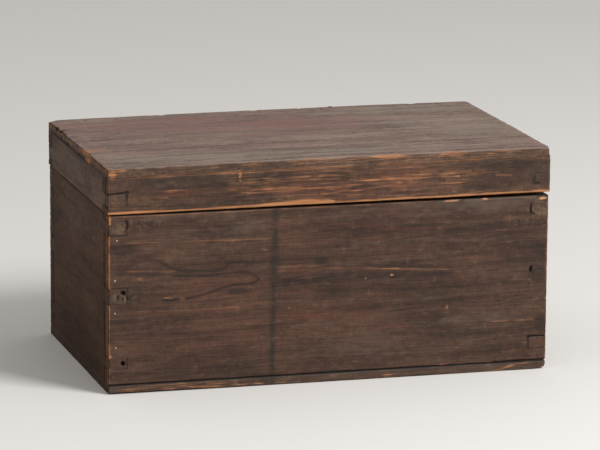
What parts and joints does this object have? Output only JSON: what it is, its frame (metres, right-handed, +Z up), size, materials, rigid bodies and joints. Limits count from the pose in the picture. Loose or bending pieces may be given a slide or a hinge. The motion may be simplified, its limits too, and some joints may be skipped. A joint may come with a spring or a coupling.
{
  "type": "money box",
  "caption": "Rectangular wooden money box with finger-jointed corners, a thin nailed bottom board and a deep lift-off lid that fits over an inner lip.",
  "frame": {"origin": "centre of the footprint, on the surface that the box stands on", "axes": "+X along the length, to the right of someone facing the front; -Y out of the front; +Z up"},
  "size_m": [0.4544, 0.2728, 0.2252],
  "materials": {
    "stained_wood": "old dark reddish brown stain, satin, worn to raw orange wood on the edges",
    "weathered_wood": "greyish brown, dusty and matt, lengthwise grain",
    "raw_wood": "unstained, darkened by age",
    "bamboo": "cut flush, darkened",
    "iron": "rusted dark",
    "steel": "bright, slightly tarnished"
  },
  "bodies": {
    "base": {"base_back_board": "stained_wood", "base_bottom_board": "stained_wood", "base_front_board": "stained_wood", "base_left_board": "stained_wood", "base_right_board": "stained_wood", "bottom_nail_back_1": "iron", "bottom_nail_back_2": "iron", "bottom_nail_back_3": "iron", "bottom_nail_back_4": "iron", "bottom_nail_back_5": "iron", "bottom_nail_front_1": "iron", "bottom_nail_front_2": "iron", "bottom_nail_front_3": "iron", "bottom_nail_front_4": "iron", "bottom_nail_front_5": "iron", "bottom_nail_left_1": "iron", "bottom_nail_left_2": "iron", "bottom_nail_right_1": "iron", "bottom_nail_right_2": "iron", "corner_brad_1": "steel", "corner_brad_2": "steel", "corner_brad_3": "steel", "corner_brad_4": "steel", "lip_back": "raw_wood", "lip_front": "raw_wood", "lip_left": "raw_wood", "lip_peg_back_1": "bamboo", "lip_peg_back_2": "bamboo", "lip_peg_front_1": "bamboo", "lip_peg_front_2": "bamboo", "lip_peg_left_1": "bamboo", "lip_peg_left_2": "bamboo", "lip_peg_right_1": "bamboo", "lip_peg_right_2": "bamboo", "lip_right": "raw_wood"},
    "lid": {"lid_back_board": "stained_wood", "lid_front_board": "stained_wood", "lid_left_board": "stained_wood", "lid_right_board": "stained_wood", "lid_top_board": "weathered_wood", "rear_edge_nail": "iron", "top_peg_back_1": "bamboo", "top_peg_back_2": "bamboo", "top_peg_back_3": "bamboo", "top_peg_back_4": "bamboo", "top_peg_front_1": "bamboo", "top_peg_front_2": "bamboo", "top_peg_front_3": "bamboo", "top_peg_front_4": "bamboo", "top_peg_left_1": "bamboo", "top_peg_right_1": "bamboo"}
  },
  "joints": [
    {"name": "lid_lift", "type": "slide", "parent": "base", "child": "lid", "axis": [0, 0, 1], "range_m": [0, 0.09]}
  ]
}
